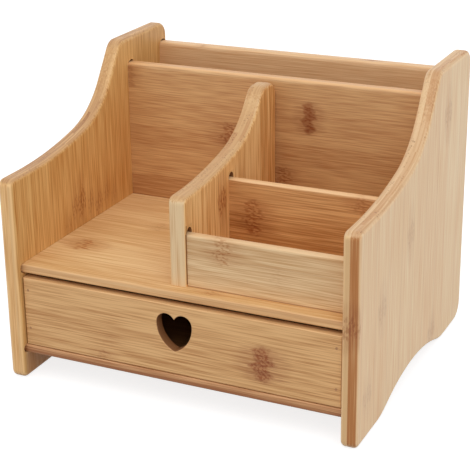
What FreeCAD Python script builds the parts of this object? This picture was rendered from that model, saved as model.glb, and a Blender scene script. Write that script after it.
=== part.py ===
import FreeCAD, Part
import math
import os

# A bamboo desk organizer: two shaped sides carry a shelf, a bottom board, an inner back and a rear
# panel in stopped housings. A divider and two short panels split the shelf, and a drawer with a
# heart-shaped finger hole slides between the shelf and the bottom board.
# X runs to the right, Y to the back and Z up. The origin is on the ground, under the middle.

# Overall size and stock
overall_width = 250.0
overall_depth = 220.0
overall_height = 202.1
side_thick = 11.0
board_thick = 10.5
shelf_thick = 6.5
bottom_thick = 6.0
panel_thick = 7.0
glue_gap = 0.1
overrun = 20.0
same_place = 1e-6

# Outline of the sides, which the divider follows above the shelf
front_height = 142.3
corner_round = 5.0
rear_top_round = 10.0
heel_round = 13.0
sweep_lead = 0.2
gentle_radius = 320.0
gentle_angle = 13.3
sweep_radius = 64.7
side_neck = 25.3
side_shoulder = 10.5
front_foot = 38.4
rear_foot = 38.8
arch_height = 11.8
foot_round = 52.0
arris_round = 3.0

# Boards: heights of their faces, and setbacks of their fronts from the fronts of the sides
bottom_underside = 18.5
shelf_top = 82.6
bottom_setback = 4.0
shelf_setback = 6.0
rear_recess = 1.5
rear_panel_top = 188.1
inner_back_setback = 158.0
inner_back_top = 183.6
thin_arris = 1.6

# Housings in the sides and the divider, with round ends that reach past the boards
side_housing_depth = 4.0
divider_housing_depth = 3.0
housing_front_past = 2.4
housing_top_past = 1.5
panel_housing_past = 4.0

# Divider and short panels
divider_offset = -1.75
divider_thick = 12.0
divider_setback = 14.0
divider_top = 182.6
divider_neck = 6.0
divider_shoulder = 12.0
divider_rear_round = 10.5
front_panel_setback = 16.3
front_panel_height = 35.0
mid_panel_setback = 78.8
mid_panel_height = 52.0

# Screws that hold the divider, from below the shelf and from behind the inner back
screw_length = 25.0
screw_shank = 3.0
screw_head = 6.0
screw_point = 3.0
screw_cross_length = 3.4
screw_cross_width = 0.9
screw_cross_depth = 1.1
screw_gap = 0.05
screw_end_gap = 0.5
shelf_screw_inset = 30.0
back_screw_low = 25.0
back_screw_high = 75.0

# Drawer
drawer_setback = 4.3
drawer_side_gap = 0.75
drawer_slide_gap = 0.3
drawer_front_lift = 0.5
drawer_top_gap = 2.7
drawer_rear_gap = 1.5
drawer_front_thick = 7.0
drawer_wall_thick = 7.0
drawer_wall_drop = 1.5
drawer_floor_thick = 3.0
drawer_floor_lift = 4.0
drawer_groove_depth = 3.2
drawer_groove_gap = 0.1
drawer_arris = 0.8

# Heart-shaped finger hole: its tip and lobes above the drawer front's lower edge
heart_tip_lift = 15.9
heart_offset = -0.5
heart_lobe_lift = 35.2
heart_lobe_spread = 5.9
heart_lobe_radius = 6.5
heart_flank_radius = 20.0
heart_arris = 0.6

# Brads of the drawer
brad_length = 20.0
brad_shank = 1.2
brad_head = 1.7
brad_head_thick = 0.8
brad_gap = 0.05
brad_end_gap = 0.5
brad_low_inset = 12.2
brad_high_inset = 8.6

# Places that follow from the sizes above
left_face = -overall_width / 2 + side_thick
right_face = overall_width / 2 - side_thick
front_plane = -overall_depth / 2
rear_plane = overall_depth / 2
bottom_top = bottom_underside + bottom_thick
shelf_underside = shelf_top - shelf_thick
rear_panel_rear = rear_plane - rear_recess
rear_panel_front = rear_panel_rear - board_thick
inner_back_front = front_plane + inner_back_setback
inner_back_rear = inner_back_front + board_thick
divider_left = divider_offset - divider_thick / 2
divider_right = divider_left + divider_thick
divider_front = front_plane + divider_setback
front_panel_front = front_plane + front_panel_setback
mid_panel_front = front_plane + mid_panel_setback
drawer_front_face = front_plane + drawer_setback
drawer_wall_front = drawer_front_face + drawer_front_thick
drawer_rear_face = rear_panel_front - drawer_rear_gap
drawer_back_front = drawer_rear_face - drawer_wall_thick
drawer_left = left_face + drawer_side_gap
drawer_right = right_face - drawer_side_gap
drawer_front_low = bottom_top + drawer_front_lift
drawer_front_high = shelf_underside - drawer_top_gap
drawer_wall_low = bottom_top + drawer_slide_gap
drawer_wall_high = drawer_front_high - drawer_wall_drop
drawer_floor_low = drawer_wall_low + drawer_floor_lift
drawer_floor_high = drawer_floor_low + drawer_floor_thick


class Outline:
    """An outline in the YZ plane, drawn edge by edge, whose arcs leave along the last edge."""

    def __init__(self, y, z):
        self.y = y
        self.z = z
        self.heading = 0.0
        self.edges = []

    def to(self, y, z):
        """A straight edge to a place, unless the outline is there already."""
        if math.hypot(y - self.y, z - self.z) > same_place:
            start = FreeCAD.Vector(0, self.y, self.z)
            self.edges.append(Part.LineSegment(start, FreeCAD.Vector(0, y, z)).toShape())
            self.heading = math.atan2(z - self.z, y - self.y)
            self.y = y
            self.z = z

    def line(self, length):
        """A straight edge of a given length along the heading."""
        self.to(self.y + length * math.cos(self.heading), self.z + length * math.sin(self.heading))

    def arc(self, radius, turn):
        """A tangent arc that turns left by a positive angle in radians, or right by a negative one."""
        reach = math.copysign(radius, turn)
        centre_y = self.y - reach * math.sin(self.heading)
        centre_z = self.z + reach * math.cos(self.heading)
        places = []
        for share in (0, 0.5, 1):
            heading = self.heading + turn * share
            places.append(FreeCAD.Vector(0, centre_y + reach * math.sin(heading),
                                         centre_z - reach * math.cos(heading)))
        self.edges.append(Part.Arc(*places).toShape())
        self.heading += turn
        self.y = places[-1].y
        self.z = places[-1].z

    def solid(self, x_low, x_high):
        """The closed outline as a board between two X places."""
        face = Part.Face(Part.Wire(self.edges))
        face.translate(FreeCAD.Vector(x_low, 0, 0))
        return face.extrude(FreeCAD.Vector(x_high - x_low, 0, 0))


def box(x_low, x_high, y_low, y_high, z_low, z_high):
    """A box between its lowest and highest places."""
    corner = FreeCAD.Vector(x_low, y_low, z_low)
    return Part.makeBox(x_high - x_low, y_high - y_low, z_high - z_low, corner)


def eased(solid, radius, picked):
    """The solid with the edges that picked chooses, by their bounding boxes, rounded."""
    return solid.makeFillet(radius, [edge for edge in solid.Edges if picked(edge.BoundBox)])


def near(a, b):
    """Whether two lengths are the same."""
    return abs(a - b) < same_place


def sweep_back_to_front(outline, top, neck, shoulder):
    """Adds the curved top edge, from the flat top down to the low front, to an outline that heads forward.

    It ends just behind the divider's rounded front corner. The neck's angle is the one at which the
    shoulder, neck, sweep and gentle arcs together drop from the top to the front height:
    A sin(angle) - B cos(angle) = C.
    """
    gentle = math.radians(gentle_angle)
    arc_sum = sweep_radius + shoulder
    drop = top - front_height
    rest = drop - gentle_radius * (1 - math.cos(gentle)) - sweep_radius * math.cos(gentle) - shoulder
    angle = math.atan2(arc_sum, neck) + math.asin(rest / math.hypot(neck, arc_sum))
    run = gentle_radius * math.sin(gentle) + neck * math.cos(angle) + shoulder * math.sin(angle)
    run += sweep_radius * (math.sin(angle) - math.sin(gentle))
    outline.to(divider_front + corner_round + sweep_lead + run, top)
    outline.arc(shoulder, angle)
    outline.line(neck)
    outline.arc(sweep_radius, gentle - angle)
    outline.arc(gentle_radius, -gentle)


def side_board(x_low, x_high):
    """A side: feet joined by a shallow arch, a straight rear edge, a flat top and the swept front."""
    half_span = (overall_depth - front_foot - rear_foot) / 2
    slope = 2 * math.atan(arch_height / half_span)
    crown_radius = half_span / math.sin(slope) - foot_round
    outline = Outline(front_plane + corner_round, 0)
    outline.to(front_plane + front_foot, 0)
    outline.arc(foot_round, slope)
    outline.arc(crown_radius, -2 * slope)
    outline.arc(foot_round, slope)
    outline.to(rear_plane - heel_round, 0)
    outline.arc(heel_round, math.pi / 2)
    outline.to(rear_plane, overall_height - rear_top_round)
    outline.arc(rear_top_round, math.pi / 2)
    sweep_back_to_front(outline, overall_height, side_neck, side_shoulder)
    outline.to(front_plane + corner_round, front_height)
    outline.arc(corner_round, math.pi / 2)
    outline.to(front_plane, corner_round)
    outline.arc(corner_round, math.pi / 2)
    return eased(outline.solid(x_low, x_high), arris_round, lambda b: near(b.XMin, b.XMax))


def housing(face, into, y_low, y_high, z_low, z_high, depth):
    """A stopped housing's cutter, from past the face to a depth, with a round end at the front or top."""
    if z_high - z_low > y_high - y_low:
        radius = (y_high - y_low) / 2
        outline = Outline(y_low, z_low)
        outline.to(y_high, z_low)
        outline.to(y_high, z_high - radius)
        outline.arc(radius, math.pi)
        outline.to(y_low, z_low)
    else:
        radius = (z_high - z_low) / 2
        outline = Outline(y_high, z_low)
        outline.to(y_high, z_high)
        outline.to(y_low + radius, z_high)
        outline.arc(radius, math.pi)
        outline.to(y_high, z_low)
    ends = sorted((face - into * overrun, face + into * depth))
    return outline.solid(ends[0], ends[1])


def board_housings(face, into):
    """The cutters for the shelf, bottom board, inner back and rear panel in a side's inner face."""
    depth = side_housing_depth
    shelf_middle = shelf_top - shelf_thick / 2
    rear_middle = rear_panel_front + board_thick / 2
    bottom_low = bottom_underside - glue_gap
    return [
        housing(face, into, front_plane + shelf_setback - housing_front_past, rear_middle,
                shelf_underside - glue_gap, shelf_top + glue_gap, depth),
        housing(face, into, front_plane + bottom_setback - housing_front_past, rear_middle,
                bottom_low, bottom_top + glue_gap, depth),
        housing(face, into, inner_back_front - glue_gap, inner_back_rear + glue_gap,
                shelf_middle, inner_back_top + housing_top_past, depth),
        housing(face, into, rear_panel_front - glue_gap, rear_panel_rear + glue_gap,
                bottom_low, rear_panel_top + housing_top_past, depth),
    ]


def panel_housings(face, into, z_low, depth):
    """The cutters for the two short panels in the divider's or the right side's face."""
    cutters = []
    for front, height in ((front_panel_front, front_panel_height), (mid_panel_front, mid_panel_height)):
        cutters.append(housing(face, into, front - glue_gap, front + panel_thick + glue_gap,
                               z_low, shelf_top + height + panel_housing_past, depth))
    return cutters


def wood_screw(hole):
    """A countersunk screw along +Z with its head's face at zero, or the hole that takes it."""
    gap = screw_gap if hole else 0
    end = screw_length + (screw_end_gap if hole else 0)
    shank = screw_shank / 2 + gap
    head = screw_head / 2 + gap
    body = [(head, 0), (shank, head - shank), (shank, end - screw_point)]
    if hole:
        corners = [(0, -overrun), (head, -overrun)] + body + [(gap, end), (0, end)]
    else:
        corners = [(0, 0)] + body + [(0, end)]
    ring = [FreeCAD.Vector(r, 0, z) for r, z in corners]
    profile = Part.Face(Part.makePolygon(ring + ring[:1]))
    screw = profile.revolve(FreeCAD.Vector(0, 0, 0), FreeCAD.Vector(0, 0, 1), 360)
    if not hole:
        long = screw_cross_length / 2
        wide = screw_cross_width / 2
        screw = screw.cut([box(-long, long, -wide, wide, -overrun, screw_cross_depth),
                           box(-wide, wide, -long, long, -overrun, screw_cross_depth)])
    return screw


def placed(shape, x, y, z, axis):
    """A copy of a shape made along +Z, turned to an axis and moved to a place."""
    copy = shape.copy()
    turn = FreeCAD.Rotation(FreeCAD.Vector(0, 0, 1), axis)
    copy.Placement = FreeCAD.Placement(FreeCAD.Vector(x, y, z), turn)
    return copy


def shelf_screw_set(hole):
    """The screws that rise through the shelf into the divider, or their holes."""
    middle = (divider_left + divider_right) / 2
    up = FreeCAD.Vector(0, 0, 1)
    return [placed(wood_screw(hole), middle, y, shelf_underside, up)
            for y in (divider_front + shelf_screw_inset, inner_back_front - shelf_screw_inset)]


def back_screw_set(hole):
    """The screws that run forward through the inner back into the divider, or their holes."""
    middle = (divider_left + divider_right) / 2
    forward = FreeCAD.Vector(0, -1, 0)
    return [placed(wood_screw(hole), middle, inner_back_rear, shelf_top + rise, forward)
            for rise in (back_screw_low, back_screw_high)]


def brad(hole):
    """A brad along +Z with its head's face at zero, or the hole that takes it."""
    gap = brad_gap if hole else 0
    head_base = brad_head_thick + gap
    mouth = -overrun if hole else 0
    end = brad_length + (brad_end_gap if hole else 0)
    head = Part.makeCylinder(brad_head / 2 + gap, head_base - mouth, FreeCAD.Vector(0, 0, mouth))
    shank = Part.makeCylinder(brad_shank / 2 + gap, end)
    return head.fuse(shank).removeSplitter()


def brad_heights():
    """The two heights of the drawer's brads."""
    return (drawer_front_low + brad_low_inset, drawer_front_high - brad_high_inset)


def front_brad_set(hole):
    """The brads through the drawer front into the ends of its sides, or their holes."""
    back = FreeCAD.Vector(0, 1, 0)
    half = drawer_wall_thick / 2
    return [placed(brad(hole), x, drawer_front_face, z, back)
            for x in (drawer_left + half, drawer_right - half) for z in brad_heights()]


def back_brad_set(hole):
    """The brads through the drawer's sides into the ends of its back, or their holes."""
    y = drawer_rear_face - drawer_wall_thick / 2
    inward = ((drawer_left, FreeCAD.Vector(1, 0, 0)), (drawer_right, FreeCAD.Vector(-1, 0, 0)))
    return [placed(brad(hole), x, y, z, axis) for x, axis in inward for z in brad_heights()]


def heart_cutter():
    """The finger hole: on each side a lobe, and a flank that touches it from outside and meets the tip."""
    rise = heart_lobe_lift - heart_tip_lift
    to_lobe = heart_flank_radius - heart_lobe_radius
    span = math.hypot(heart_lobe_spread, rise)
    # The flank's centre lies to_lobe from the lobe's centre and a flank radius from the tip.
    along = (heart_flank_radius ** 2 - to_lobe ** 2 + span ** 2) / (2 * span)
    across = math.sqrt(heart_flank_radius ** 2 - along ** 2)
    flank_x = (along * heart_lobe_spread - across * rise) / span
    flank_z = (along * rise + across * heart_lobe_spread) / span
    touch = math.atan2(rise - flank_z, heart_lobe_spread - flank_x)
    tip = math.atan2(-flank_z, -flank_x)
    notch = math.acos(-heart_lobe_spread / heart_lobe_radius)
    tip_z = drawer_front_low + heart_tip_lift
    edges = []
    for side in (-1, 1):
        for centre_x, centre_z, radius, start, end in (
                (flank_x, flank_z, heart_flank_radius, tip, touch),
                (heart_lobe_spread, rise, heart_lobe_radius, touch, notch)):
            places = []
            for share in (0, 0.5, 1):
                angle = start + (end - start) * share
                places.append(FreeCAD.Vector(
                    heart_offset + side * (centre_x + radius * math.cos(angle)),
                    drawer_front_face - overrun,
                    tip_z + centre_z + radius * math.sin(angle)))
            edges.append(Part.Arc(*places).toShape())
    face = Part.Face(Part.Wire(Part.__sortEdges__(edges)))
    return face.extrude(FreeCAD.Vector(0, drawer_front_thick + 2 * overrun, 0))


def left_side():
    """The left side, with the housings of the boards that cross the whole organizer."""
    return side_board(-overall_width / 2, left_face).cut(board_housings(left_face, -1))


def right_side():
    """The right side, which also houses the short panels' right ends."""
    cutters = board_housings(right_face, 1)
    cutters += panel_housings(right_face, 1, shelf_top - shelf_thick / 2, side_housing_depth)
    return side_board(right_face, overall_width / 2).cut(cutters)


def housed_board(thick_low, thick_high, y_low, y_high):
    """A board across the organizer whose ends stand in both sides' housings."""
    reach = side_housing_depth - glue_gap
    return box(left_face - reach, right_face + reach, y_low, y_high, thick_low, thick_high)


def along_x(b):
    """Whether an edge's box runs along X alone."""
    return near(b.YMin, b.YMax) and near(b.ZMin, b.ZMax)


def shelf():
    """The shelf, with a rounded front edge and countersunk holes for the divider's screws."""
    board = housed_board(shelf_underside, shelf_top, front_plane + shelf_setback, rear_panel_front)
    board = eased(board, thin_arris, lambda b: along_x(b) and near(b.YMin, front_plane + shelf_setback))
    return board.cut(shelf_screw_set(True))


def bottom_board():
    """The board under the drawer, which the drawer slides on."""
    board = housed_board(bottom_underside, bottom_top, front_plane + bottom_setback, rear_panel_front)
    return eased(board, thin_arris, lambda b: along_x(b) and near(b.YMin, front_plane + bottom_setback))


def rear_panel():
    """The rear panel, from the bottom board's underside to the top of the letter slot."""
    board = housed_board(bottom_underside, rear_panel_top, rear_panel_front, rear_panel_rear)
    return eased(board, arris_round, lambda b: along_x(b) and near(b.ZMin, rear_panel_top))


def inner_back():
    """The inner back, which stands on the shelf in front of the letter slot."""
    board = housed_board(shelf_top, inner_back_top, inner_back_front, inner_back_rear)
    board = eased(board, arris_round, lambda b: along_x(b) and near(b.ZMin, inner_back_top))
    return board.cut(back_screw_set(True))


def divider():
    """The divider on the shelf, which repeats the sides' sweep up to a lower, rounder shoulder."""
    outline = Outline(divider_front, shelf_top)
    outline.to(inner_back_front, shelf_top)
    outline.to(inner_back_front, divider_top - divider_rear_round)
    outline.arc(divider_rear_round, math.pi / 2)
    sweep_back_to_front(outline, divider_top, divider_neck, divider_shoulder)
    outline.to(divider_front + corner_round, front_height)
    outline.arc(corner_round, math.pi / 2)
    outline.to(divider_front, shelf_top)
    board = outline.solid(divider_left, divider_right)

    def shown(b):
        on_face = near(b.XMin, b.XMax)
        hidden = near(b.ZMax, shelf_top) or near(b.YMin, inner_back_front)
        return on_face and not hidden

    board = eased(board, arris_round, shown)
    cutters = panel_housings(divider_right, -1, shelf_top - overrun, divider_housing_depth)
    return board.cut(cutters + shelf_screw_set(True) + back_screw_set(True))


def short_panel(front, height):
    """A short panel on the shelf between the divider and the right side."""
    panel = box(divider_right - divider_housing_depth + glue_gap, right_face + side_housing_depth - glue_gap,
                front, front + panel_thick, shelf_top, shelf_top + height)
    return eased(panel, thin_arris, lambda b: along_x(b) and near(b.ZMin, shelf_top + height))


def drawer_front():
    """The drawer front, with its finger hole, the groove for the floor and the brads' holes."""
    board = box(drawer_left, drawer_right, drawer_front_face, drawer_wall_front,
                drawer_front_low, drawer_front_high)
    board = eased(board, drawer_arris, lambda b: near(b.YMin, drawer_front_face) and near(b.YMin, b.YMax))
    board = board.cut(heart_cutter())
    heart_top = drawer_front_low + heart_lobe_lift + heart_lobe_radius
    heart_side = heart_lobe_spread + heart_lobe_radius

    def finger_edge(b):
        on_front = near(b.YMin, drawer_front_face) and near(b.YMax, drawer_front_face)
        beside = abs((b.XMin + b.XMax) / 2 - heart_offset) < heart_side
        return on_front and beside and b.ZMax < heart_top + same_place

    board = eased(board, heart_arris, finger_edge)
    return board.cut([drawer_floor_groove()] + front_brad_set(True))


def drawer_floor_groove():
    """The groove for the floor in the drawer's front, sides and back, as one cutter."""
    reach = drawer_groove_depth
    return box(drawer_left + drawer_wall_thick - reach, drawer_right - drawer_wall_thick + reach,
               drawer_wall_front - reach, drawer_back_front + reach,
               drawer_floor_low - drawer_groove_gap, drawer_floor_high + drawer_groove_gap)


def drawer_wall(x_low, x_high):
    """A side of the drawer, with eased upper edges."""
    wall = box(x_low, x_high, drawer_wall_front, drawer_rear_face, drawer_wall_low, drawer_wall_high)
    wall = eased(wall, drawer_arris, lambda b: near(b.ZMin, drawer_wall_high) and near(b.XMin, b.XMax))
    return wall.cut([drawer_floor_groove()] + front_brad_set(True) + back_brad_set(True))


def drawer_back():
    """The drawer's back, between its sides."""
    board = box(drawer_left + drawer_wall_thick, drawer_right - drawer_wall_thick,
                drawer_back_front, drawer_rear_face, drawer_wall_low, drawer_wall_high)
    board = eased(board, drawer_arris, lambda b: along_x(b) and near(b.ZMin, drawer_wall_high))
    return board.cut([drawer_floor_groove()] + back_brad_set(True))


def drawer_floor():
    """The thin floor, captured in the groove all round."""
    reach = drawer_groove_depth - drawer_groove_gap
    return box(drawer_left + drawer_wall_thick - reach, drawer_right - drawer_wall_thick + reach,
               drawer_wall_front - reach, drawer_back_front + reach, drawer_floor_low, drawer_floor_high)


nodes = {
    "left_side": left_side(),
    "right_side": right_side(),
    "shelf": shelf(),
    "bottom_board": bottom_board(),
    "rear_panel": rear_panel(),
    "inner_back": inner_back(),
    "divider": divider(),
    "front_short_panel": short_panel(front_panel_front, front_panel_height),
    "mid_short_panel": short_panel(mid_panel_front, mid_panel_height),
    "shelf_screws": Part.makeCompound(shelf_screw_set(False)),
    "inner_back_screws": Part.makeCompound(back_screw_set(False)),
    "drawer_front": drawer_front(),
    "drawer_left_wall": drawer_wall(drawer_left, drawer_left + drawer_wall_thick),
    "drawer_right_wall": drawer_wall(drawer_right - drawer_wall_thick, drawer_right),
    "drawer_back": drawer_back(),
    "drawer_floor": drawer_floor(),
    "drawer_front_brads": Part.makeCompound(front_brad_set(False)),
    "drawer_back_brads": Part.makeCompound(back_brad_set(False)),
}

os.makedirs("parts", exist_ok=True)
for name, shape in nodes.items():
    shape.exportStep("parts/" + name + ".step")
    state = "valid" if shape.isValid() else "NOT VALID"
    print(name, len(shape.Solids), "solids", round(shape.Volume), "mm3", state)
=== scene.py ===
import bpy
import math
from mathutils import Matrix, Vector


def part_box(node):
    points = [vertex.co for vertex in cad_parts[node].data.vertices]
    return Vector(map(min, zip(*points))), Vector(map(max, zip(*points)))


# A bamboo desk organizer on a white table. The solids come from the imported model. This script gives each
# board its laminated bamboo and each fastener its metal, and adds the photograph's camera, table and light.
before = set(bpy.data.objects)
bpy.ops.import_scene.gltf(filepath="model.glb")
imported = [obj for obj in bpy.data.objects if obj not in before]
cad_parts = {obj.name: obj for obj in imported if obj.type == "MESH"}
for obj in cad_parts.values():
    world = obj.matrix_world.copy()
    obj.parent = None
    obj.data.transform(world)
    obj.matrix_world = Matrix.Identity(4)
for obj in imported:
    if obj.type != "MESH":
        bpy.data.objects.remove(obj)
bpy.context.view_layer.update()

# The photograph's viewpoint is to the front right and above. The camera looks through a long lens,
# turned and dipped towards the organizer and tilted a little.
mm = 0.001
camera_place = Vector((375.3, -809.6, 431.6)) * mm
camera_turn = math.radians(26.28)
camera_dip = math.radians(20.62)
camera_roll = math.radians(-1.15)
camera_data = bpy.data.cameras.new("photo_camera")
camera_data.lens = 105.81
camera_data.shift_x = 0.05
camera_data.shift_y = -0.035
camera = bpy.data.objects.new("photo_camera", camera_data)
bpy.context.scene.collection.objects.link(camera)
aim = Matrix.Rotation(camera_turn, 4, "Z") @ Matrix.Rotation(math.radians(90) - camera_dip, 4, "X")
camera.matrix_world = Matrix.Translation(camera_place) @ aim @ Matrix.Rotation(camera_roll, 4, "Z")
bpy.context.scene.camera = camera


# The two sides are boards of three plies of bamboo strips with the grain upright, sawn to the swept
# outline, their arrises rounded over and the whole board sealed with a satin lacquer. Their housings
# take the glued ends of the shelf, the bottom board, the inner back and the rear panel.
def shade(red, green, blue):
    """A colour seen on a screen, 0 to 255 a channel, as the linear colour that a shader takes: a straight
    line near black, and a power of 2.4 above it."""
    channels = []
    for value in (red / 255, green / 255, blue / 255):
        channels.append(value / 12.92 if value <= 0.04045 else ((value + 0.055) / 1.055) ** 2.4)
    return (*channels, 1.0)


def feed(tree, socket, value):
    """Links a socket to another node's output, or sets the socket's own value."""
    if isinstance(value, bpy.types.NodeSocket):
        tree.links.new(value, socket)
    else:
        socket.default_value = value


def calc(tree, operation, *values, clamp=False):
    """The output of a Math node."""
    node = tree.nodes.new("ShaderNodeMath")
    node.operation = operation
    node.use_clamp = clamp
    for socket, value in zip(node.inputs, values):
        feed(tree, socket, value)
    return node.outputs[0]


def add(tree, *values):
    """The sum of two or more values."""
    total = values[0]
    for value in values[1:]:
        total = calc(tree, "ADD", total, value)
    return total


def times(tree, *values):
    """The product of two or more values."""
    product = values[0]
    for value in values[1:]:
        product = calc(tree, "MULTIPLY", product, value)
    return product


def swing(tree, value):
    """A value between 0 and 1, lowered by a half so that it swings about zero."""
    return calc(tree, "SUBTRACT", value, 0.5)


def vector_calc(tree, operation, *values):
    """The vector output of a Vector Math node."""
    node = tree.nodes.new("ShaderNodeVectorMath")
    node.operation = operation
    for socket, value in zip(node.inputs, values):
        feed(tree, socket, value)
    return node.outputs[0]


def parts_of(tree, vector):
    """The three components of a vector."""
    node = tree.nodes.new("ShaderNodeSeparateXYZ")
    feed(tree, node.inputs[0], vector)
    return node.outputs[0], node.outputs[1], node.outputs[2]


def vector_of(tree, x, y, z):
    """A vector from its three components."""
    node = tree.nodes.new("ShaderNodeCombineXYZ")
    for socket, value in zip(node.inputs, (x, y, z)):
        feed(tree, socket, value)
    return node.outputs[0]


def ramp(tree, value, low, high, to_low=0.0, to_high=1.0):
    """A value mapped smoothly from one range to another, and held at its ends."""
    node = tree.nodes.new("ShaderNodeMapRange")
    node.interpolation_type = "SMOOTHSTEP"
    for name, number in (("Value", value), ("From Min", low), ("From Max", high),
                         ("To Min", to_low), ("To Max", to_high)):
        feed(tree, node.inputs[name], number)
    return node.outputs[0]


def tint(tree, share, under, over, stain=False):
    """One colour laid over another by a share, held between 0 and 1, or soaked into it as a stain that
    darkens it."""
    node = tree.nodes.new("ShaderNodeMix")
    node.data_type = "RGBA"
    node.blend_type = "MULTIPLY" if stain else "MIX"
    feed(tree, node.inputs[0], share)
    feed(tree, node.inputs[6], under)
    feed(tree, node.inputs[7], over)
    return node.outputs[2]


def cloud(tree, vector, repeats, detail=1.0):
    """Soft noise with so many repeats a metre along each axis."""
    node = tree.nodes.new("ShaderNodeTexNoise")
    feed(tree, node.inputs["Vector"], vector_calc(tree, "MULTIPLY", vector, repeats))
    node.inputs["Scale"].default_value = 1.0
    node.inputs["Detail"].default_value = detail
    return node.outputs[0]


def group_of(name, takes, gives):
    """A new shader group with named inputs, each with its kind and first value, and named outputs."""
    tree = bpy.data.node_groups.new(name, "ShaderNodeTree")
    for label, (kind, first) in takes.items():
        socket = tree.interface.new_socket(label, in_out="INPUT", socket_type=kind)
        socket.default_value = first
    for label, kind in gives.items():
        tree.interface.new_socket(label, in_out="OUTPUT", socket_type=kind)
    start = tree.nodes.new("NodeGroupInput").outputs
    end = tree.nodes.new("NodeGroupOutput").inputs
    return tree, start, end


def place_group(tree, group, values):
    """A group's node in a material or another group, with its inputs fed by name."""
    node = tree.nodes.new("ShaderNodeGroup")
    node.node_tree = group
    for label, value in values.items():
        feed(tree, node.inputs[label], value)
    return node.outputs


COLOUR = "NodeSocketColor"
NUMBER = "NodeSocketFloat"
VECTOR = "NodeSocketVector"


def culm_joint_group():
    """The brown scar of a culm joint in one strip: a soft halo of streaks along the grain, and a ragged core
    of short dark dashes. Offset is measured from its middle: along the grain, across and through. Halo and
    core fade out as the squared way along and the fourth power of the way across add up."""
    tree, given, out = group_of(
        "Culm joint",
        {"Colour": (COLOUR, (0.5, 0.3, 0.1, 1.0)), "Offset": (VECTOR, (0.0, 0.0, 0.0)),
         "Half length": (NUMBER, 0.008), "Half width": (NUMBER, 0.012), "Strength": (NUMBER, 1.0),
         "Fill": (NUMBER, 0.5), "Stain": (COLOUR, (0.38, 0.14, 0.03, 1.0)),
         "Thin stain": (COLOUR, (0.58, 0.29, 0.07, 1.0)), "Dash length": (NUMBER, 0.00385)},
        {"Colour": COLOUR})
    offset = given["Offset"]

    # How often each pattern repeats in a metre, along the grain, across it and through the board
    rag_repeats = (25.0, 190.0, 190.0)
    streak_repeats = (60.0, 900.0, 900.0)
    dashes_across = 620.0
    per_dash = calc(tree, "DIVIDE", 1.0, given["Dash length"])
    dash_repeats = vector_of(tree, per_dash, dashes_across, dashes_across)

    # The way from the middle as a share of the scar's half length, made ragged, and of its half width
    raggedness = 1.4
    along, across, _ = parts_of(tree, offset)
    ragged = swing(tree, cloud(tree, offset, rag_repeats, detail=2.0))
    u = add(tree, calc(tree, "DIVIDE", along, given["Half length"]), times(tree, ragged, raggedness))
    v = calc(tree, "DIVIDE", across, given["Half width"])
    u2 = times(tree, u, u)
    v2 = times(tree, v, v)
    v4 = times(tree, v2, v2)

    # The halo is longer and fainter than the core
    halo_shortness = 0.6
    halo_darkness = 0.55
    core_shortness = 2.6
    core_darkness = 0.95
    halo = ramp(tree, add(tree, times(tree, u2, halo_shortness), v4), 0.0, 1.4, 1.0, 0.0)
    streaks = ramp(tree, cloud(tree, offset, streak_repeats, detail=2.0), 0.36, 0.62, 0.3, 1.0)
    core = ramp(tree, add(tree, times(tree, u2, core_shortness), v4), 0.1, 1.3, 1.0, 0.0)
    dashes = ramp(tree, cloud(tree, offset, dash_repeats, detail=2.0), 0.42, 0.58, given["Fill"], 1.0)
    dark = times(tree, core, dashes, core_darkness)
    soft = times(tree, halo, streaks, halo_darkness)
    share = calc(tree, "MULTIPLY", calc(tree, "MAXIMUM", dark, soft), given["Strength"], clamp=True)
    full = calc(tree, "MULTIPLY", given["Fill"], 2.0, clamp=True)
    soaked = tint(tree, full, given["Thin stain"], given["Stain"])
    feed(tree, out["Colour"], tint(tree, share, given["Colour"], soaked, stain=True))
    return tree


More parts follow.
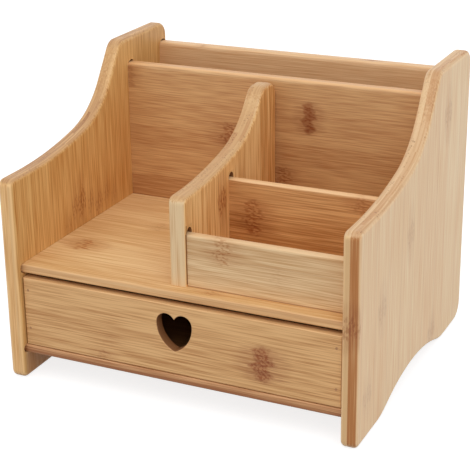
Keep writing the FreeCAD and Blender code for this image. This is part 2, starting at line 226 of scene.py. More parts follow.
def bamboo_group(joint):
    """Solid laminated bamboo. Place runs along the grain, across the strips and through the plies. Each strip
    of each ply has a tone of its own and streaks of fibre, long along the grain and fine across it, so that
    sawn ends show the fibres as dots on paler wood, and the board's edges show the plies. The tone is the sum
    of the ply's, the strip's, the clouds', the streaks' and the fibres', 0 for Pale and 1 for Deep."""
    tree, given, out = group_of(
        "Laminated bamboo",
        {"Place": (VECTOR, (0.0, 0.0, 0.0)), "Facing": (VECTOR, (0.0, 0.0, 1.0)),
         "Strip width": (NUMBER, 0.024), "Ply": (NUMBER, 0.0035), "Seed": (NUMBER, 0.0),
         "Pale": (COLOUR, (0.6, 0.4, 0.2, 1.0)), "Deep": (COLOUR, (0.45, 0.25, 0.1, 1.0)),
         "Edge": (COLOUR, (0.6, 0.4, 0.2, 1.0)), "Edge deep": (COLOUR, (0.4, 0.2, 0.1, 1.0)),
         "End": (COLOUR, (0.5, 0.3, 0.15, 1.0)), "End deep": (COLOUR, (0.4, 0.2, 0.1, 1.0)),
         "Fibre": (COLOUR, (0.25, 0.1, 0.03, 1.0)), "Fibre strength": (NUMBER, 0.5),
         "Fibre length": (NUMBER, 0.03), "Ply tones": (VECTOR, (0.0, 0.0, 0.0)),
         "Strip spread": (NUMBER, 0.5), "Cloudiness": (NUMBER, 0.4), "Streakiness": (NUMBER, 0.5),
         "Joint share": (NUMBER, 0.0), "Tone": (NUMBER, 0.0)},
        {"Colour": COLOUR, "Roughness": NUMBER, "Height": NUMBER})
    along, across, through = parts_of(tree, given["Place"])
    facing_along, _, facing_through = parts_of(tree, given["Facing"])

    # How often each pattern repeats in a metre, along the grain, across it and through the board
    cloud_repeats = (6.0, 65.0, 65.0)
    streak_repeats = (9.0, 560.0, 560.0)
    fibres_across = 1200.0
    layer_repeats = (14.0, 14.0, 760.0)
    dot_repeats = (45.0, 620.0, 620.0)
    dotted_repeats = (25.0, 25.0, 150.0)

    # Which of three plies, 0 to 2, and which strip, the strips being shifted from ply to ply
    last_ply = 2.0
    ply_shift = 0.37
    depth = calc(tree, "DIVIDE", through, given["Ply"])
    ply = calc(tree, "MINIMUM", calc(tree, "MAXIMUM", calc(tree, "FLOOR", depth), 0.0), last_ply)
    rows = add(tree, calc(tree, "DIVIDE", across, given["Strip width"]), times(tree, ply, ply_shift))
    strip = calc(tree, "FLOOR", rows)
    within = calc(tree, "SUBTRACT", rows, strip)
    draw = tree.nodes.new("ShaderNodeTexWhiteNoise")
    feed(tree, draw.inputs["Vector"], vector_of(tree, strip, ply, given["Seed"]))
    lot = draw.outputs["Value"]
    lot_along, lot_shift, lot_joint = parts_of(tree, draw.outputs["Color"])

    # Each strip takes its clouds, streaks and fibres from a place of its own, metres away
    farthest_along = 9.0
    farthest_through = 3.0
    moved = vector_of(tree, times(tree, lot, farthest_along), 0.0, times(tree, lot_shift, farthest_through))
    here = vector_calc(tree, "ADD", given["Place"], moved)
    clouds = cloud(tree, here, cloud_repeats, detail=2.0)
    streaks = cloud(tree, here, streak_repeats)
    per_fibre = calc(tree, "DIVIDE", 1.0, given["Fibre length"])
    fibres = cloud(tree, here, vector_of(tree, per_fibre, fibres_across, fibres_across))

    # A sawn end faces along the grain, and the board's edge neither along it nor through the board
    on_end = ramp(tree, facing_along, 0.3, 0.85)
    on_edge = calc(tree, "SUBTRACT", ramp(tree, facing_through, 0.55, 0.9, 1.0, 0.0), on_end, clamp=True)
    ply_tone = 0.0
    for number, own_tone in enumerate(parts_of(tree, given["Ply tones"])):
        in_ply = calc(tree, "COMPARE", ply, float(number), 0.1)
        ply_tone = add(tree, ply_tone, times(tree, in_ply, own_tone))
    strip_tone = times(tree, swing(tree, lot), given["Strip spread"], calc(tree, "SUBTRACT", 1.0, on_edge))

    # The edge is streakier than the face, and the fibres count four times
    edge_streakiness = 1.5
    fibre_weight = 4.0
    streaky = times(tree, given["Streakiness"], add(tree, 1.0, times(tree, on_edge, edge_streakiness)))
    tone = add(tree, times(tree, on_edge, ply_tone), strip_tone,
               times(tree, swing(tree, clouds), given["Cloudiness"]),
               times(tree, swing(tree, streaks), streaky),
               times(tree, swing(tree, fibres), given["Fibre strength"], fibre_weight),
               given["Tone"], 0.5)
    pale = tint(tree, on_edge, given["Pale"], given["Edge"])
    deep = tint(tree, on_edge, given["Deep"], given["Edge deep"])
    colour = tint(tree, tone, pale, deep)
    darker = calc(tree, "MULTIPLY", calc(tree, "SUBTRACT", tone, 1.0), 0.5, clamp=True)
    colour = tint(tree, darker, colour, given["Fibre"])

    # Glue lines between strips
    glue_reach = 0.0004
    glue_strength = 0.2
    from_edge = times(tree, calc(tree, "MINIMUM", within, calc(tree, "SUBTRACT", 1.0, within)),
                      given["Strip width"])
    glue = times(tree, ramp(tree, from_edge, 0.0, glue_reach, 1.0, 0.0), glue_strength)
    colour = tint(tree, glue, colour, given["Fibre"])

    # Joints of the culm in some strips, one in each length of the pitch
    pitch = 0.26
    scar_half_length = 0.009
    scar_strength = 0.7
    step = add(tree, calc(tree, "DIVIDE", along, pitch), lot_along)
    step = times(tree, swing(tree, calc(tree, "FRACT", step)), pitch)
    aside = times(tree, swing(tree, within), given["Strip width"])
    has_joint = calc(tree, "LESS_THAN", lot_joint, given["Joint share"])
    scarred = place_group(tree, joint, {
        "Colour": colour, "Offset": vector_of(tree, step, aside, through), "Half length": scar_half_length,
        "Half width": times(tree, given["Strip width"], 0.5),
        "Strength": times(tree, has_joint, scar_strength)})
    colour = scarred["Colour"]

    # Sawn ends: the plies and the finer layers in them run along the edge, here and there with dots of fibre
    ply_weight = 0.4
    layer_weight = 3.0
    strip_weight = 0.6
    layers = swing(tree, cloud(tree, here, layer_repeats, detail=2.0))
    end_tone = add(tree, times(tree, ply_tone, ply_weight), times(tree, layers, layer_weight), 0.5,
                   times(tree, strip_tone, strip_weight))
    end_colour = tint(tree, end_tone, given["End"], given["End deep"])
    cells = tree.nodes.new("ShaderNodeTexVoronoi")
    feed(tree, cells.inputs["Vector"], vector_calc(tree, "MULTIPLY", here, dot_repeats))
    cells.inputs["Scale"].default_value = 1.0
    dots = ramp(tree, cells.outputs["Distance"], 0.1, 0.42, 0.7, 0.0)
    dotted = ramp(tree, cloud(tree, here, dotted_repeats), 0.5, 0.6)
    end_colour = tint(tree, times(tree, dots, dotted), end_colour, given["Fibre"])

    # The lacquer is satin, and a little duller on the dark fibres
    glossiest = 0.38
    dullest = 0.54
    feed(tree, out["Colour"], tint(tree, on_end, colour, end_colour))
    feed(tree, out["Roughness"], ramp(tree, fibres, 0.2, 0.8, glossiest, dullest))
    feed(tree, out["Height"], add(tree, times(tree, streaks, 0.5), fibres))
    return tree


def strip_tone_group():
    """One strip with a tone of its own: Deeper is added to Tone between the strip's two edges, Low and High,
    which lie across the grain."""
    tree, given, out = group_of(
        "Strip tone",
        {"Tone": (NUMBER, 0.0), "Across": (NUMBER, 0.0), "Low": (NUMBER, 0.0), "High": (NUMBER, 0.024),
         "Deeper": (NUMBER, 0.2)},
        {"Tone": NUMBER})
    fade = 0.0002
    middle = times(tree, add(tree, given["Low"], given["High"]), 0.5)
    half = times(tree, calc(tree, "SUBTRACT", given["High"], given["Low"]), 0.5)
    away = calc(tree, "ABSOLUTE", calc(tree, "SUBTRACT", given["Across"], middle))
    inside = ramp(tree, calc(tree, "SUBTRACT", away, half), -fade, fade, given["Deeper"], 0.0)
    feed(tree, out["Tone"], add(tree, given["Tone"], inside))
    return tree


def painted_shade_group():
    """A place of painted shade, such as the open end of a housing or the shadow line where two boards meet:
    in a box of Half size round Middle, a share (Shade share) of the colour gives way to the shade's colour
    (Shade colour). Its rim fades over twice Softness."""
    tree, given, out = group_of(
        "Painted shade place",
        {"Colour": (COLOUR, (0.5, 0.3, 0.1, 1.0)), "Place": (VECTOR, (0.0, 0.0, 0.0)),
         "Middle": (VECTOR, (0.0, 0.0, 0.0)), "Half size": (VECTOR, (0.003, 0.004, 0.003)),
         "Shade colour": (COLOUR, (0.14, 0.055, 0.006, 1.0)), "Shade share": (NUMBER, 0.9), "Softness": (NUMBER, 0.0001)},
        {"Colour": COLOUR})
    away = vector_calc(tree, "ABSOLUTE", vector_calc(tree, "SUBTRACT", given["Place"], given["Middle"]))
    rim_start = times(tree, given["Softness"], -1.0)
    share = given["Shade share"]
    for reach, half in zip(parts_of(tree, away), parts_of(tree, given["Half size"])):
        inside = ramp(tree, calc(tree, "SUBTRACT", reach, half), rim_start, given["Softness"], 1.0, 0.0)
        share = times(tree, share, inside)
    feed(tree, out["Colour"], tint(tree, share, given["Colour"], given["Shade colour"]))
    return tree


culm_joint = culm_joint_group()
laminated_bamboo = bamboo_group(culm_joint)
strip_tone = strip_tone_group()
painted_shade_place = painted_shade_group()


def bamboo(name, start, order, out_from=(1, 1, 1), *, seed, pale, deep, edge=(224, 184, 132),
           edge_deep=(196, 146, 90), end=(214, 170, 122), end_deep=(186, 136, 86), strip=24.0, ply=3.5,
           plies=(0.0, 0.0, 0.0), spread=0.3, fibre=0.6, length=35.0, clouds=0.35, streaks=0.4, share=0.0,
           bands=(), joints=(), painted_shades=()):
    """A board's lacquered bamboo. Start is a corner of the pattern in millimetres: a face of the first ply
    and an edge between two strips. Order names the axes along the grain, across it and through the board,
    and out_from is -1 for an axis that is measured the other way. Pale and deep are the two ends of the
    tones on the face, and edge and end are the same for the board's edges and its sawn ends. Strip and ply
    are a strip's width and a ply's thickness, and length is a fibre's, in millimetres. Plies holds the three
    plies' tones, spread how far the strips' tones lie apart, and share how many strips have culm joints.
    Each band is a strip's two edges in millimetres and how much deeper its tone is. Each joint is its
    middle, half length and half width in millimetres, its strength, the fill between its dashes, and their
    length in millimetres. Each place of painted shade is its middle and half size in millimetres, the shade's
    colour, how much of it shows, and the softness of its rim in millimetres."""
    material = bpy.data.materials.new(name)
    material.use_nodes = True
    tree = material.node_tree
    shader = tree.nodes["Principled BSDF"]
    spot = tree.nodes.new("ShaderNodeTexCoord")
    centred = tree.nodes.new("ShaderNodeMapping")
    centred.vector_type = "TEXTURE"
    centred.inputs["Location"].default_value = Vector(start) * mm
    centred.inputs["Scale"].default_value = out_from
    tree.links.new(spot.outputs["Object"], centred.inputs["Vector"])
    axes = ["XYZ".index(letter) for letter in order]
    found = parts_of(tree, centred.outputs[0])
    place = vector_of(tree, *[found[axis] for axis in axes])
    facing = parts_of(tree, vector_calc(tree, "ABSOLUTE", spot.outputs["Normal"]))
    own_place = parts_of(tree, spot.outputs["Object"])[axes[1]]
    tone = 0.0
    for low, high, deeper in bands:
        toned = place_group(tree, strip_tone, {
            "Tone": tone, "Across": own_place, "Low": low * mm, "High": high * mm, "Deeper": deeper})
        tone = toned["Tone"]
    fibre_brown = shade(136, 74, 34)
    board = place_group(tree, laminated_bamboo, {
        "Place": place, "Facing": vector_of(tree, *[facing[axis] for axis in axes]),
        "Strip width": strip * mm, "Ply": ply * mm, "Seed": seed,
        "Pale": shade(*pale), "Deep": shade(*deep), "Fibre": fibre_brown, "Edge": shade(*edge),
        "Edge deep": shade(*edge_deep), "End": shade(*end), "End deep": shade(*end_deep),
        "Ply tones": plies, "Strip spread": spread, "Fibre strength": fibre, "Fibre length": length * mm,
        "Cloudiness": clouds, "Streakiness": streaks, "Joint share": share, "Tone": tone})
    colour = board["Colour"]
    for middle, half_length, half_width, strength, fill, dash in joints:
        offset = [(middle[axis] - start[axis]) * out_from[axis] * mm for axis in axes]
        scar = place_group(tree, culm_joint, {
            "Colour": colour, "Offset": vector_calc(tree, "SUBTRACT", place, offset),
            "Half length": half_length * mm, "Half width": half_width * mm, "Strength": strength,
            "Fill": fill, "Dash length": dash * mm})
        colour = scar["Colour"]
    # Painted shade: darker boxes of colour where a recess, a gap or a board above keeps the light off
    for middle, half_size, brown, shade_share, softness in painted_shades:
        shaded_place = place_group(tree, painted_shade_place, {
            "Colour": colour, "Place": spot.outputs["Object"], "Middle": Vector(middle) * mm,
            "Half size": Vector(half_size) * mm, "Shade colour": shade(*brown), "Shade share": shade_share,
            "Softness": softness * mm})
        colour = shaded_place["Colour"]
    bump = tree.nodes.new("ShaderNodeBump")
    bump.inputs["Strength"].default_value = 0.25
    bump.inputs["Distance"].default_value = 0.0002
    tree.links.new(board["Height"], bump.inputs["Height"])
    tree.links.new(bump.outputs[0], shader.inputs["Normal"])
    tree.links.new(colour, shader.inputs["Base Color"])
    tree.links.new(board["Roughness"], shader.inputs["Roughness"])
    return material


def dress(material, *nodes):
    """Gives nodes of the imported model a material."""
    for name in nodes:
        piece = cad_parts[name]
        if not piece.data.materials:
            piece.data.materials.append(material)
        for slot in piece.material_slots:
            slot.material = material


# Colour, share and softness of the painted shade: painted shade in the open ends of the housings, and
# painted shade on the feet's inner faces below the bottom board
housing_painted_shade = ((124, 69, 10), 0.9, 0.1)
foot_painted_shade = ((175, 103, 20), 0.6, 2.0)


def box_of(node):
    """A node's lowest and highest corners in millimetres."""
    low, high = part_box(node)
    return [round(value / mm, 3) for value in low], [round(value / mm, 3) for value in high]


def shaded_housing_end(board, middle_x, rise, half_size):
    """Painted shade in the open end of a housing over the board that is glued into it: in the middle of the
    board's thickness, and by rise above its top edge."""
    low, high = box_of(board)
    return (middle_x, (low[1] + high[1]) / 2, high[2] + rise), half_size, *housing_painted_shade


left_low, left_high = box_of("left_side")
right_low, right_high = box_of("right_side")
side_front = left_low[1]
left_inner = left_high[0]
right_inner = right_low[0]
right_outer = right_high[0]
foot_middle = 8.5
foot_half_size = (4.0, 106.0, 9.0)
left_housing_middle = left_inner - 3.6
left_housing_rise = 3.2
left_housing_half_size = (3.4, 6.2, 3.4)
fine_dash = 3.85
left_joints = [
    ((left_inner, -34.0, 99.0), 15.0, 5.0, 0.65, 0.35, fine_dash),
    ((left_inner, -25.0, 100.0), 19.0, 6.0, 0.8, 0.35, fine_dash),
    ((left_inner, -13.0, 97.0), 16.0, 5.0, 0.5, 0.4, fine_dash),
    ((left_inner, -2.0, 92.0), 14.0, 6.0, 0.65, 0.35, fine_dash),
    ((left_inner, -44.0, 88.0), 13.0, 5.0, 0.35, 0.4, fine_dash),
    ((left_inner, 9.0, 96.0), 12.0, 5.0, 0.45, 0.4, fine_dash),
    ((left_inner, 20.0, 92.0), 12.0, 5.0, 0.35, 0.4, fine_dash),
]
# Painted shade in the open ends of the housings and on the foot's inner face below the bottom board
left_painted_shade = [
    shaded_housing_end("inner_back", left_housing_middle, left_housing_rise, left_housing_half_size),
    shaded_housing_end("rear_panel", left_housing_middle, left_housing_rise, left_housing_half_size),
    ((left_inner, 0.0, foot_middle), foot_half_size, *foot_painted_shade),
]
right_joints = [
    ((right_outer, 59.4, 168.3), 17.0, 9.0, 0.4, 0.4, fine_dash),
    ((right_outer, -67.1, 76.6), 16.0, 9.0, 0.3, 0.5, fine_dash),
    ((right_outer, -14.5, 107.9), 17.0, 8.0, 0.3, 0.5, fine_dash),
    ((right_outer, -92.0, 29.1), 13.0, 9.0, 0.25, 0.5, fine_dash),
    ((right_outer, 38.9, 17.0), 12.0, 9.0, 0.3, 0.5, fine_dash),
    ((120.5, side_front, 82.0), 13.0, 4.0, 0.7, 0.3, fine_dash),
]
# Painted shade on the foot's inner face below the bottom board
right_painted_shade = [
    ((right_inner, 0.0, foot_middle), foot_half_size, *foot_painted_shade),
]
# The left side is coloured deeper than the right: partly the boards' own tones, partly painted shade on the
# left side's inner face inside the tray, and painted light and sheen on the right side's lit outer face
dress(bamboo("bamboo_left_side", (left_inner, side_front, 0.0), "ZYX", (-1, 1, 1), seed=3.0,
             pale=(236, 191, 124), deep=(200, 140, 70), edge=(255, 209, 147), edge_deep=(226, 170, 107),
             end=(218, 172, 118), end_deep=(178, 126, 80), plies=(-0.5, 0.2, 0.0), spread=0.2, clouds=0.3,
             streaks=0.7, joints=left_joints, painted_shades=left_painted_shade), "left_side")
first_ply = right_inner + 1.4
dress(bamboo("bamboo_right_side", (first_ply, side_front, 0.0), "ZYX", seed=11.0,
             pale=(255, 224, 178), deep=(236, 184, 131), edge=(244, 202, 146), edge_deep=(184, 118, 60),
             end=(229, 193, 148), end_deep=(204, 154, 106), plies=(-0.7, 0.55, 0.45), spread=0.2, fibre=0.4,
             length=45.0, clouds=0.4, streaks=0.5, bands=[(62.0, 112.0, -0.25), (-29.0, -5.0, -0.18)],
             joints=right_joints, painted_shades=right_painted_shade), "right_side")


# The divider is a narrower board with the same upright grain, screwed to the shelf from below and to
# the inner back from behind. It follows the sides' sweep, and its right face houses the short panels.
divider_right = box_of("divider")[1][0]
front_panel_front = box_of("front_short_panel")[0][1]
divider_housing_middle = divider_right - 3.15
divider_housing_half_size = (3.1, 4.0, 4.0)
divider_joints = [
    ((divider_right, -42.0, 123.0), 17.0, 7.0, 1.0, 0.35, fine_dash),
]
# Painted shade in the open ends of the housings, and a painted shadow line on the divider in the gap in front
# of the front short panel
divider_painted_shade = [
    shaded_housing_end("front_short_panel", divider_housing_middle, 1.9, divider_housing_half_size),
    shaded_housing_end("mid_short_panel", divider_housing_middle, 0.9, divider_housing_half_size),
    ((divider_right, front_panel_front - 0.4, 101.0), (0.6, 0.55, 17.0), *housing_painted_shade),
]
dress(bamboo("bamboo_divider", (divider_right, 20.0, 0.0), "ZYX", (-1, 1, 1), seed=5.0, strip=28.0,
             pale=(252, 209, 146), deep=(211, 148, 80), edge=(240, 208, 162), edge_deep=(218, 172, 120),
             end=(213, 170, 118), end_deep=(194, 140, 90), plies=(-0.5, -0.3, -0.4), fibre=0.9, streaks=1.1,
             bands=[(20.0, 60.0, 0.2), (-4.0, 20.0, -0.3)], joints=divider_joints,
             painted_shades=divider_painted_shade), "divider")


# The shelf and the bottom board are single thin boards with the grain from side to side. Their ends
# are glued into the sides' housings, and the drawer slides between them.
shelf_front = box_of("shelf")[0][1]
shelf_top = box_of("shelf")[1][2]
bottom_front = box_of("bottom_board")[0][1]
underside = box_of("bottom_board")[0][2]
shelf_joints = [
    ((-94.0, -57.0, shelf_top), 15.0, 11.0, 1.0, 0.15, 8.0),
    ((-61.5, -8.1, shelf_top), 9.0, 8.0, 0.35, 0.3, fine_dash),
    ((22.5, -98.2, shelf_top), 11.0, 3.5, 0.6, 0.2, 4.0),
]
shelf_bands = [(-112.0, -93.0, 0.12), (-84.0, -48.0, -0.12), (0.0, 60.0, -0.15)]
dress(bamboo("bamboo_shelf", (0.0, shelf_front, shelf_top), "XYZ", (1, 1, -1), seed=21.0, ply=3.3,
             pale=(246, 209, 154), deep=(214, 161, 99), edge=(255, 209, 151), edge_deep=(230, 178, 121),
             plies=(0.0, 0.2, 0.0), fibre=0.45, clouds=0.4, streaks=0.9, bands=shelf_bands,
             joints=shelf_joints), "shelf")
dress(bamboo("bamboo_bottom_board", (0.0, bottom_front, underside), "XYZ", seed=27.0, ply=3.0,
             pale=(222, 168, 118), deep=(190, 132, 82), edge=(221, 168, 117), edge_deep=(170, 110, 64),
             plies=(0.6, 0.1, 0.1), clouds=0.2, streaks=0.6, share=0.1), "bottom_board")


# The inner back stands on the shelf, and the rear panel closes the organizer from the bottom board up.
# Both have the grain from side to side, and letters stand in the slot between them.
inner_back_front = box_of("inner_back")[0][1]
rear_panel_front = box_of("rear_panel")[0][1]
inner_back_joints = [
    ((28.9, inner_back_front, 157.0), 10.0, 12.5, 1.0, 0.75, fine_dash),
    ((9.6, inner_back_front, 110.0), 12.0, 11.0, 0.8, 0.4, fine_dash),
    ((-31.0, inner_back_front, 138.0), 16.0, 10.0, 0.9, 0.35, fine_dash),
    ((-112.0, inner_back_front, 174.0), 8.0, 9.0, 0.5, 0.6, fine_dash),
]
# The inner back is coloured deeper than the rear panel, lightest along its top strip and deepest along its
# lowest: partly the strips' own tones, partly painted shade in the tray
inner_back_bands = [(162.0, 185.0, -0.2), (138.0, 162.0, -0.1), (122.0, 138.0, 0.15), (100.0, 122.0, -0.15),
                    (80.0, 100.0, 0.2)]

# A thin painted shadow line, brown, where the board meets the shelf
meeting_painted_shadow = (150, 90, 45)
meeting_level = shelf_top + 0.2
inner_back_painted_shade = [
    ((0.0, inner_back_front, meeting_level), (right_inner, 1.0, 0.5), meeting_painted_shadow, 0.6, 0.3),
]
dress(bamboo("bamboo_inner_back", (0.0, inner_back_front, 145.2), "XZY", seed=33.0, strip=23.5,
             pale=(220, 175, 121), deep=(183, 128, 79), edge=(237, 186, 131), edge_deep=(209, 154, 100),
             plies=(-0.3, -0.2, -0.2), fibre=0.5, length=24.0, streaks=0.2, bands=inner_back_bands,
             joints=inner_back_joints, painted_shades=inner_back_painted_shade), "inner_back")
dress(bamboo("bamboo_rear_panel", (0.0, rear_panel_front, underside), "XZY", seed=41.0,
             pale=(236, 197, 150), deep=(208, 156, 105), edge=(240, 198, 150), edge_deep=(216, 168, 118),
             plies=(-0.3, -0.2, -0.2), fibre=0.5, clouds=0.25, streaks=0.3, share=0.3), "rear_panel")


# The two short panels cross from the divider to the right side, their ends glued into the divider's
# and the right side's housings. The front one is paler. The mid one is coloured deeper, most of all along
# its lower strips: partly its own tone, partly painted shade deep in the compartment.
mid_panel_front = box_of("mid_short_panel")[0][1]
panel_middle = (divider_right + right_inner) / 2
front_joints = [
    ((28.6, front_panel_front, 109.5), 12.0, 9.5, 0.75, 0.05, 3.0),
    ((66.0, front_panel_front, 99.0), 10.0, 7.0, 0.2, 0.3, fine_dash),
]
# A painted shadow line where the front panel meets the shelf
front_panel_painted_shade = [
    ((panel_middle, front_panel_front, meeting_level), (56.0, 1.0, 0.5), meeting_painted_shadow, 0.7, 0.3),
]
mid_joints = [
    ((21.5, mid_panel_front, 110.0), 14.0, 14.0, 0.85, 0.35, fine_dash),
    ((97.7, mid_panel_front, 129.0), 11.0, 6.0, 0.6, 0.3, fine_dash),
]
dress(bamboo("bamboo_front_panel", (0.0, front_panel_front, 104.5), "XZY", seed=52.0, strip=22.0,
             pale=(241, 208, 161), deep=(206, 160, 108), edge=(238, 200, 152), edge_deep=(214, 168, 118),
             plies=(-0.5, -0.3, -0.4), clouds=0.5, streaks=0.35, bands=[(80.0, 103.0, -0.2)],
             joints=front_joints, painted_shades=front_panel_painted_shade), "front_short_panel")
dress(bamboo("bamboo_mid_panel", (0.0, mid_panel_front, 98.0), "XZY", seed=61.0, strip=25.0,
             pale=(224, 171, 113), deep=(180, 121, 66), edge=(246, 200, 148), edge_deep=(222, 172, 118),
             plies=(-0.5, -0.3, -0.4), clouds=0.45, bands=[(118.0, 136.0, -0.1), (80.0, 112.0, 0.2)],
             joints=mid_joints), "mid_short_panel")


# The divider's screws are countersunk steel, zinc plated, with their heads flush in the shelf's
# underside and in the inner back.
def scuffs_group():
    """Fine scuffs: soft noise that mixes some of Worn colour into Plain colour and roughens the gloss."""
    tree, given, out = group_of(
        "Fine scuffs",
        {"Place": (VECTOR, (0.0, 0.0, 0.0)), "Plain colour": (COLOUR, (0.6, 0.6, 0.6, 1.0)),
         "Worn colour": (COLOUR, (0.2, 0.2, 0.2, 1.0)), "Plain gloss": (NUMBER, 0.3),
         "Worn gloss": (NUMBER, 0.5)},
        {"Colour": COLOUR, "Roughness": NUMBER})
    mark_repeats = (1400.0, 1400.0, 1400.0)
    marks = cloud(tree, given["Place"], mark_repeats, detail=3.0)
    worn = ramp(tree, marks, 0.45, 0.7, 0.0, 0.4)
    feed(tree, out["Colour"], tint(tree, worn, given["Plain colour"], given["Worn colour"]))
    feed(tree, out["Roughness"], ramp(tree, marks, 0.3, 0.7, given["Plain gloss"], given["Worn gloss"]))
    return tree


fine_scuffs = scuffs_group()


def metal(name, colour, worn_colour, metallic, roughness, scuffed):
    """Plain steel with fine scuffs. Roughness is that of the plain metal, and scuffed that of its marks."""
    material = bpy.data.materials.new(name)
    material.use_nodes = True
    tree = material.node_tree
    shader = tree.nodes["Principled BSDF"]
    shader.inputs["Metallic"].default_value = metallic
    spot = tree.nodes.new("ShaderNodeTexCoord")
    scuffed_metal = place_group(tree, fine_scuffs, {
        "Place": spot.outputs["Object"], "Plain colour": shade(*colour), "Worn colour": shade(*worn_colour),
        "Plain gloss": roughness, "Worn gloss": scuffed})
    tree.links.new(scuffed_metal["Colour"], shader.inputs["Base Color"])
    tree.links.new(scuffed_metal["Roughness"], shader.inputs["Roughness"])
    return material


dress(metal("zinc_plated_screws", colour=(206, 203, 196), worn_colour=(120, 112, 102), metallic=1.0,
            roughness=0.28, scuffed=0.45), "shelf_screws", "inner_back_screws")


# The drawer front has the grain from side to side and a heart-shaped finger hole sawn through it, its
# edge just eased and its walls darker: partly browned by the saw, partly painted shade inside the hole.
# The front is nailed to the ends of the sides.
drawer_low, drawer_high = box_of("drawer_front")
drawer_face = drawer_low[1]
drawer_joints = [
    ((60.6, drawer_face, 43.9), 15.0, 13.5, 1.0, 0.7, 2.0),
    ((-53.5, drawer_face, 28.5), 9.0, 4.5, 0.5, 0.4, fine_dash),
    ((-48.0, drawer_face, 40.0), 12.0, 6.0, 0.15, 0.4, fine_dash),
]
drawer_bamboo = bamboo("bamboo_drawer_front", (0.0, drawer_face, 30.0), "XZY", seed=72.0, strip=26.5, ply=4.0,
                       pale=(237, 188, 129), deep=(193, 136, 80), edge=(238, 192, 136),
                       edge_deep=(208, 156, 102), plies=(0.0, 0.2, 0.0), fibre=0.7, streaks=0.28,
                       bands=[(52.0, 76.0, -0.2)], joints=drawer_joints)

# The heart's walls are what lies within reach of its middle and doesn't face the front
heart_middle = Vector((-0.5, (drawer_face + drawer_high[1]) / 2, 54.0)) * mm
heart_reach = 16.5 * mm
# The walls are darkened: partly saw browning, partly painted shade inside the hole
sawn_brown_and_shade_share = 0.85
sawn_brown_and_shade = shade(142, 88, 52)
drawer_tree = drawer_bamboo.node_tree
drawer_spot = drawer_tree.nodes["Texture Coordinate"]
drawer_colour = drawer_tree.nodes["Principled BSDF"].inputs["Base Color"]
from_heart = drawer_tree.nodes.new("ShaderNodeVectorMath")
from_heart.operation = "DISTANCE"
drawer_tree.links.new(drawer_spot.outputs["Object"], from_heart.inputs[0])
from_heart.inputs[1].default_value = heart_middle
facing_front = calc(drawer_tree, "ABSOLUTE", parts_of(drawer_tree, drawer_spot.outputs["Normal"])[1])
near_heart = calc(drawer_tree, "LESS_THAN", from_heart.outputs["Value"], heart_reach)
sawn = times(drawer_tree, ramp(drawer_tree, facing_front, 0.3, 0.75, sawn_brown_and_shade_share, 0.0), near_heart)
plain_bamboo = drawer_colour.links[0].from_socket
drawer_tree.links.new(tint(drawer_tree, sawn, plain_bamboo, sawn_brown_and_shade), drawer_colour)
dress(drawer_bamboo, "drawer_front")


# The drawer's sides and back are thinner bamboo boards, grooved round the inside for a thin floor
# that is slid in dry. They show once the drawer is pulled out.
wall_low = box_of("drawer_left_wall")[0]
outermost_ply = wall_low[0] - 0.5
first_strip = wall_low[1] + 1.0
back_front = box_of("drawer_back")[0][1]
floor_top = box_of("drawer_floor")[1][2]
dress(bamboo("bamboo_drawer_sides", (outermost_ply, first_strip, wall_low[2]), "YZX", seed=81.0,
             pale=(206, 164, 114), deep=(176, 126, 76), share=0.3), "drawer_left_wall", "drawer_right_wall")
dress(bamboo("bamboo_drawer_back", (0.0, back_front, wall_low[2]), "XZY", seed=87.0,
             pale=(206, 164, 114), deep=(178, 128, 80), share=0.3), "drawer_back")
# The floor is coloured darker than the walls: painted shade, so that the drawer's inside looks dark through
# the heart
dress(bamboo("bamboo_drawer_floor_painted_shade", (0.0, first_strip, floor_top), "XYZ", (1, 1, -1), seed=93.0, strip=32.0,
             ply=1.0, pale=(170, 124, 78), deep=(142, 96, 56), share=0.25), "drawer_floor")


# The brads are thin steel pins with small heads, driven flush through the drawer's front and sides,
# and dulled brown by the lacquer.
dress(metal("dull_steel_brads", colour=(186, 134, 92), worn_colour=(146, 100, 66), metallic=0.1,
            roughness=0.5, scuffed=0.65), "drawer_front_brads", "drawer_back_brads")


# The table is a plain white sheet that the organizer's feet stand on. It shows white to the camera
# and keeps the organizer's soft shadow.
def seen_by_eye(tree):
    """1 for a ray that the eye sees, also in a reflection or through glass, and 0 for one that gives
    light."""
    rays = tree.nodes.new("ShaderNodeLightPath")
    return calc(tree, "MAXIMUM", rays.outputs["Is Camera Ray"],
                calc(tree, "MAXIMUM", rays.outputs["Is Glossy Ray"], rays.outputs["Is Transmission Ray"]))


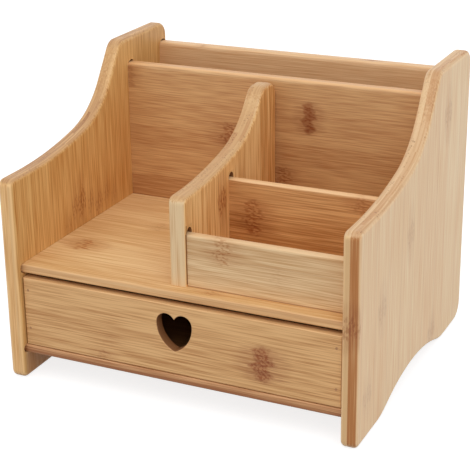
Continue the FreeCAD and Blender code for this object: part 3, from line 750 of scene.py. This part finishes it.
table_half = 6.0
table_level = -0.0003
table_grey = 0.4
table_glow = 0.8
table_mesh = bpy.data.meshes.new("table_top")
table_mesh.from_pydata([(-table_half, -table_half, table_level), (table_half, -table_half, table_level),
                        (table_half, table_half, table_level), (-table_half, table_half, table_level)],
                       [], [(0, 1, 2, 3)])
table_top = bpy.data.objects.new("table_top", table_mesh)
bpy.context.scene.collection.objects.link(table_top)
table_paint = bpy.data.materials.new("white_table")
table_paint.use_nodes = True
table_tree = table_paint.node_tree
table_tree.nodes.remove(table_tree.nodes["Principled BSDF"])
matt = table_tree.nodes.new("ShaderNodeBsdfDiffuse")
matt.inputs["Color"].default_value = (table_grey, table_grey, table_grey, 1.0)
glow = table_tree.nodes.new("ShaderNodeEmission")
feed(table_tree, glow.inputs["Strength"], times(table_tree, seen_by_eye(table_tree), table_glow))
both = table_tree.nodes.new("ShaderNodeAddShader")
table_tree.links.new(matt.outputs[0], both.inputs[0])
table_tree.links.new(glow.outputs[0], both.inputs[1])
table_tree.links.new(both.outputs[0], table_tree.nodes["Material Output"].inputs["Surface"])
table_mesh.materials.append(table_paint)


# The room is a white studio: even light from all round, and two large soft lamps above the front,
# the stronger one on the right.
even_light = 0.76
world = bpy.data.worlds.new("white_studio")
bpy.context.scene.world = world
world.use_nodes = True
world_tree = world.node_tree
sky = world_tree.nodes["Background"]
sky.inputs["Color"].default_value = (1.0, 1.0, 1.0, 1.0)
feed(world_tree, sky.inputs["Strength"], ramp(world_tree, seen_by_eye(world_tree), 0.0, 1.0, even_light, 1.0))


def soft_lamp(name, place, size, power):
    """A square lamp that faces the middle of the organizer."""
    data = bpy.data.lights.new(name, "AREA")
    data.size = size
    data.energy = power
    lamp = bpy.data.objects.new(name, data)
    bpy.context.scene.collection.objects.link(lamp)
    spot = Vector(place)
    target = Vector((0.0, 0.0, 0.1))
    facing = (target - spot).to_track_quat("-Z", "Y").to_matrix().to_4x4()
    lamp.matrix_world = Matrix.Translation(spot) @ facing


soft_lamp("right_lamp", place=(1.8, -2.2, 3.7), size=3.2, power=41.2)
soft_lamp("left_lamp", place=(-1.8, -2.2, 3.7), size=3.2, power=19.2)
bpy.context.scene.view_settings.view_transform = "Standard"
